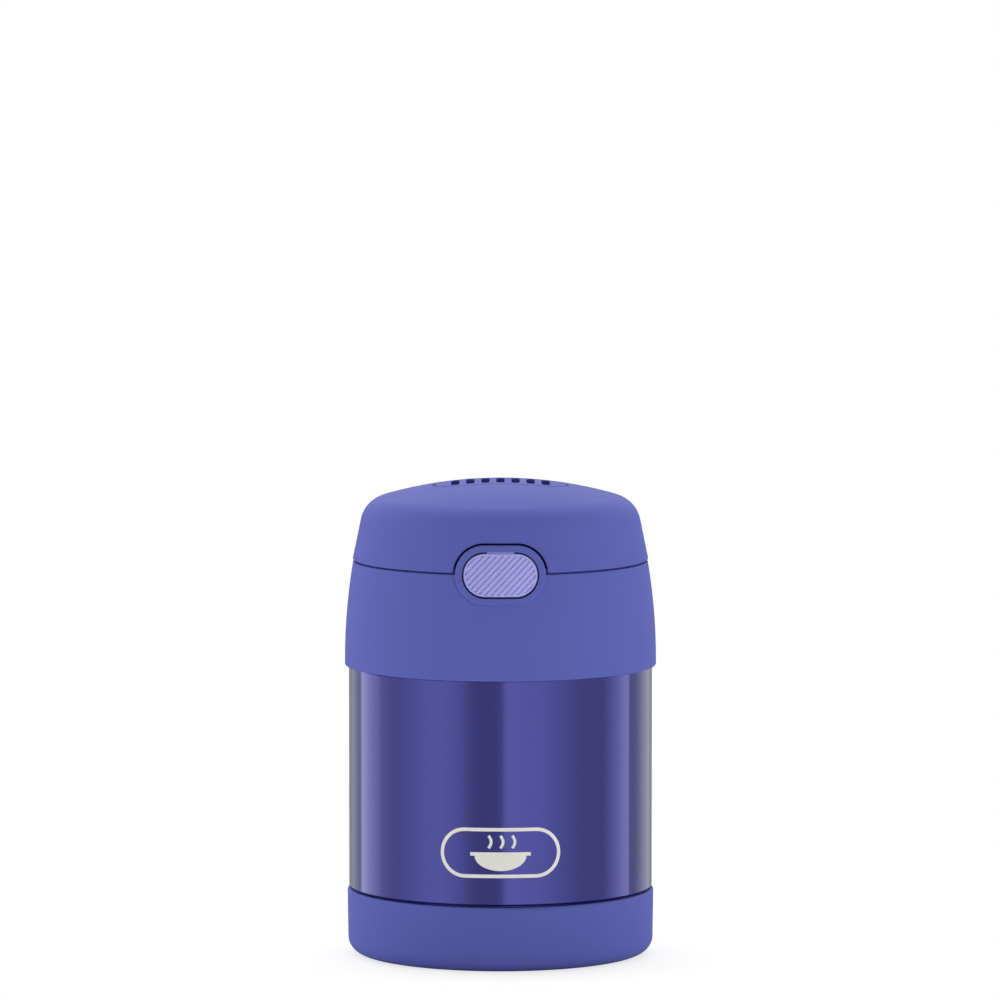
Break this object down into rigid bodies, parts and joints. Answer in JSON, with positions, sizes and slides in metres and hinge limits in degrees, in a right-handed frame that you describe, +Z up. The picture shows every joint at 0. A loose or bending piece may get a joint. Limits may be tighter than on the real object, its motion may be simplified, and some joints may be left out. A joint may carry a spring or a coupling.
{
  "type": "insulated food jar",
  "caption": "Vacuum insulated food jar: steel vessel in a foot cup, screw stopper with thread and gasket, and a push-button flip lid over a folding spoon.",
  "frame": {"origin": "centre of the ring that the foot cup rests on", "axes": "+Z up along the jar's axis, -Y towards the button, +Y towards the lid hinge, +X to the right seen from the button"},
  "size_m": [0.085, 0.085, 0.1298],
  "materials": {
    "lacquered_steel": "glossy metallic violet lacquer",
    "bare_steel": "brushed",
    "getter_metal": "sintered",
    "solder": "dull",
    "violet_plastic": "fine matte grain",
    "lilac_plastic": "satin",
    "pale_plastic": "satin",
    "silicone": "soft translucent white",
    "foam": "closed cell foam",
    "spring_steel": "drawn wire",
    "spoon_steel": "polished"
  },
  "bodies": {
    "jar": {"outer_shell": "lacquered_steel", "inner_liner": "bare_steel", "shell_base": "bare_steel", "getter": "getter_metal", "evacuation_seal": "solder", "base_boot": "violet_plastic"},
    "seal": {"stopper_gasket": "silicone"},
    "stopper": {"collar": "violet_plastic", "stopper_liner": "pale_plastic", "stopper_insulation": "foam", "latch_housing": "violet_plastic", "hinge_pin": "spring_steel", "hinge_spring": "spring_steel", "button_spring": "spring_steel", "spoon_bowl": "spoon_steel", "spoon_handle": "lilac_plastic", "spoon_rivet": "spoon_steel"},
    "button": {"push_button": "lilac_plastic", "latch_hook": "pale_plastic"},
    "lid": {"lid_shell": "violet_plastic", "lid_liner": "violet_plastic"}
  },
  "joints": [
    {"name": "stopper_lift", "type": "slide", "parent": "jar", "child": "seal", "axis": [0, 0, 1], "range_m": [0, 0.02251]},
    {"name": "stopper_turn", "type": "hinge", "parent": "seal", "child": "stopper", "pos_m": [0, 0, 0.09], "axis": [0, 0, 1], "range_deg": [0, 540]},
    {"name": "lid_hinge", "type": "hinge", "parent": "stopper", "child": "lid", "pos_m": [0, 0.0396, 0.1078], "axis": [-1, 0, 0], "range_deg": [0, 105], "deforming": ["hinge_spring", "latch_hook"]},
    {"name": "button_press", "type": "slide", "parent": "stopper", "child": "button", "axis": [0, 1, 0], "range_m": [0, 0.002], "stiffness_N_per_m": 400, "deforming": ["button_spring"]}
  ],
  "couplings": [
    {"joint": "stopper_lift", "follows": "stopper_turn", "m_per_rad": 0.0023873}
  ]
}
